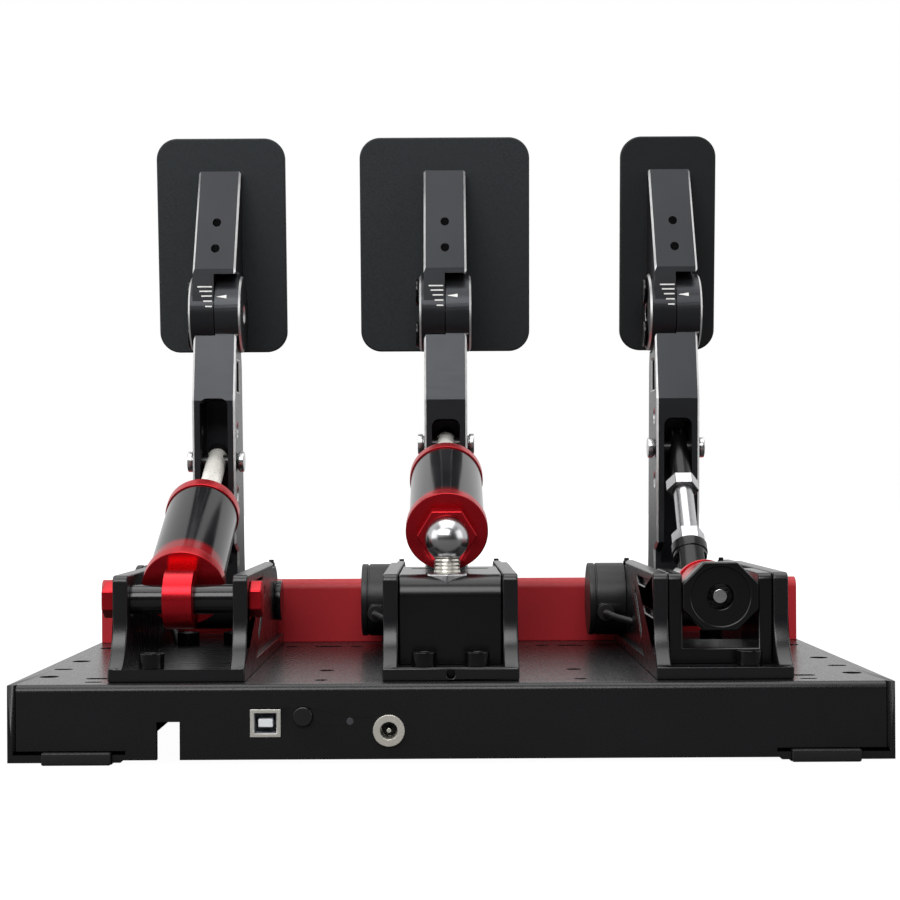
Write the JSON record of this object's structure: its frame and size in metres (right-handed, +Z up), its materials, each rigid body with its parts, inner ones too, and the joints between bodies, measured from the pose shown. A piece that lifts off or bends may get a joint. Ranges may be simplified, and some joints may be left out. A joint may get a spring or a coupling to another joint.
{
  "type": "sim racing pedal set",
  "caption": "Racing simulator pedal set: folded tray, red heel rest, louvred brackets, strut-sprung arms and tilting pads.",
  "frame": {"origin": "centre of the bounding box on the floor under the feet", "axes": "X to the right when seen from the rear, Y from the rear wall towards the driver, Z up"},
  "size_m": [0.345, 0.2898, 0.2763],
  "materials": {
    "tray_black": "satin powder coat",
    "heel_red": "textured powder coat",
    "foot_black": "matte moulded",
    "board_green": "solder mask",
    "post_brass": "plain turned",
    "nickel": "nickel plated",
    "lamp_clear": "clear lens",
    "screw_black": "black oxide",
    "bush_tan": "plain moulded",
    "lead_black": "smooth jacket",
    "bracket_black": "satin anodised",
    "housing_black": "fine texture",
    "bright_steel": "ground",
    "red_anodised": "bright red anodised",
    "chrome": "polished",
    "block_black": "black anodised",
    "tube_black": "gloss black anodised",
    "button_black": "fine texture",
    "arm_grey": "satin grey anodised with bright chamfers",
    "pad_dark": "matte grained anodised",
    "spring_steel": "oiled",
    "elastomer_dark": "matte"
  },
  "bodies": {
    "base": {"base_tray": "tray_black", "heel_rest": "heel_red", "feet": "foot_black", "control_board": "board_green", "board_posts": "post_brass", "usb_socket": "nickel", "dc_jack": "nickel", "status_light": "lamp_clear", "base_screws": "screw_black", "pivot_bushes": "bush_tan", "sensor_leads": "lead_black", "throttle_bracket": "bracket_black", "brake_bracket": "bracket_black", "clutch_bracket": "bracket_black", "throttle_sensor": "housing_black", "brake_sensor": "housing_black", "clutch_sensor": "housing_black", "throttle_cross_pin": "tube_black", "throttle_pin_caps": "red_anodised", "brake_load_cell": "block_black", "brake_ball_stud": "chrome", "clutch_frame": "block_black", "clutch_end_block": "block_black", "clutch_spring_tube": "red_anodised", "clutch_spring": "spring_steel"},
    "button": {"push_button": "button_black"},
    "throttle_lever": {"throttle_arm": "arm_grey", "throttle_shaft": "screw_black", "throttle_arm_pin": "bright_steel", "throttle_hub_bolts": "screw_black"},
    "throttle_head": {"throttle_pad_holder": "arm_grey", "throttle_pad": "pad_dark", "throttle_pad_screws": "screw_black"},
    "brake_lever": {"brake_arm": "arm_grey", "brake_shaft": "screw_black", "brake_arm_pin": "bright_steel", "brake_hub_bolts": "screw_black"},
    "brake_head": {"brake_pad_holder": "arm_grey", "brake_pad": "pad_dark", "brake_pad_screws": "screw_black"},
    "clutch_lever": {"clutch_arm": "arm_grey", "clutch_shaft": "screw_black", "clutch_arm_pin": "bright_steel", "clutch_hub_bolts": "screw_black"},
    "clutch_head": {"clutch_pad_holder": "arm_grey", "clutch_pad": "pad_dark", "clutch_pad_screws": "screw_black"},
    "throttle_piston": {"throttle_rod": "chrome"},
    "throttle_cylinder": {"throttle_tube": "tube_black", "throttle_tube_cap": "red_anodised", "throttle_tube_eye": "red_anodised", "throttle_spring": "spring_steel"},
    "brake_piston": {"brake_rod": "chrome"},
    "brake_cylinder": {"brake_tube": "tube_black", "brake_tube_cap": "red_anodised", "brake_ball_socket": "red_anodised", "brake_elastomers": "elastomer_dark"},
    "clutch_link": {"clutch_rod_ends": "block_black", "clutch_push_rod": "chrome"},
    "clutch_slider": {"clutch_plunger": "bright_steel"}
  },
  "joints": [
    {"name": "button_press", "type": "slide", "parent": "base", "child": "button", "axis": [0, 1, 0], "range_m": [0, 0.001], "stiffness_N_per_m": 400, "springref_m": -0.002},
    {"name": "throttle_pivot", "type": "hinge", "parent": "base", "child": "throttle_lever", "pos_m": [-0.108, 0.0235, 0.0533], "axis": [1, 0, 0], "range_deg": [0, 16], "stiffness_Nm_per_rad": 30, "springref_deg": -2.86},
    {"name": "throttle_pad_tilt", "type": "hinge", "parent": "throttle_lever", "child": "throttle_head", "pos_m": [-0.108, 0.0165, 0.19], "axis": [1, 0, 0], "range_deg": [-10, 10]},
    {"name": "brake_pivot", "type": "hinge", "parent": "base", "child": "brake_lever", "pos_m": [0, 0.0235, 0.0533], "axis": [1, 0, 0], "range_deg": [0, 10], "stiffness_Nm_per_rad": 250, "springref_deg": -1.15},
    {"name": "brake_pad_tilt", "type": "hinge", "parent": "brake_lever", "child": "brake_head", "pos_m": [0, 0.0165, 0.19], "axis": [1, 0, 0], "range_deg": [-10, 10]},
    {"name": "clutch_pivot", "type": "hinge", "parent": "base", "child": "clutch_lever", "pos_m": [0.108, 0.0235, 0.0533], "axis": [1, 0, 0], "range_deg": [0, 12], "stiffness_Nm_per_rad": 40, "springref_deg": -2.86, "deforming": ["clutch_spring"]},
    {"name": "clutch_pad_tilt", "type": "hinge", "parent": "clutch_lever", "child": "clutch_head", "pos_m": [0.108, 0.0165, 0.19], "axis": [1, 0, 0], "range_deg": [-10, 10]},
    {"name": "throttle_rod_pin", "type": "hinge", "parent": "throttle_lever", "child": "throttle_piston", "pos_m": [-0.1092, 0.0055, 0.1197], "axis": [1, 0, 0], "range_deg": [-15.32, 0]},
    {"name": "throttle_foot_pin", "type": "hinge", "parent": "base", "child": "throttle_cylinder", "pos_m": [-0.1092, -0.1125, 0.0623], "axis": [1, 0, 0], "range_deg": [0, 0.698], "deforming": ["throttle_spring"]},
    {"name": "brake_rod_pin", "type": "hinge", "parent": "brake_lever", "child": "brake_piston", "pos_m": [-0.0012, 0.0055, 0.1275], "axis": [1, 0, 0], "range_deg": [-9.75, 0]},
    {"name": "brake_ball_joint", "type": "hinge", "parent": "base", "child": "brake_cylinder", "pos_m": [-0.0012, -0.1085, 0.0861], "axis": [1, 0, 0], "range_deg": [0, 0.27], "deforming": ["brake_elastomers"]},
    {"name": "clutch_rod_pin", "type": "hinge", "parent": "clutch_lever", "child": "clutch_link", "pos_m": [0.108, 0.0055, 0.1253], "axis": [1, 0, 0], "range_deg": [-17.53, 0]},
    {"name": "clutch_slider_pin", "type": "hinge", "parent": "clutch_link", "child": "clutch_slider", "pos_m": [0.108, -0.0445, 0.063], "axis": [1, 0, 0], "range_deg": [0, 5.53]}
  ],
  "couplings": [
    {"joint": "throttle_rod_pin", "follows": "throttle_pivot", "ratio": -0.957},
    {"joint": "throttle_foot_pin", "follows": "throttle_pivot", "ratio": 0.043},
    {"joint": "brake_rod_pin", "follows": "brake_pivot", "ratio": -0.974},
    {"joint": "brake_ball_joint", "follows": "brake_pivot", "ratio": 0.026},
    {"joint": "clutch_rod_pin", "follows": "clutch_pivot", "ratio": -1.46},
    {"joint": "clutch_slider_pin", "follows": "clutch_pivot", "ratio": 0.46}
  ]
}
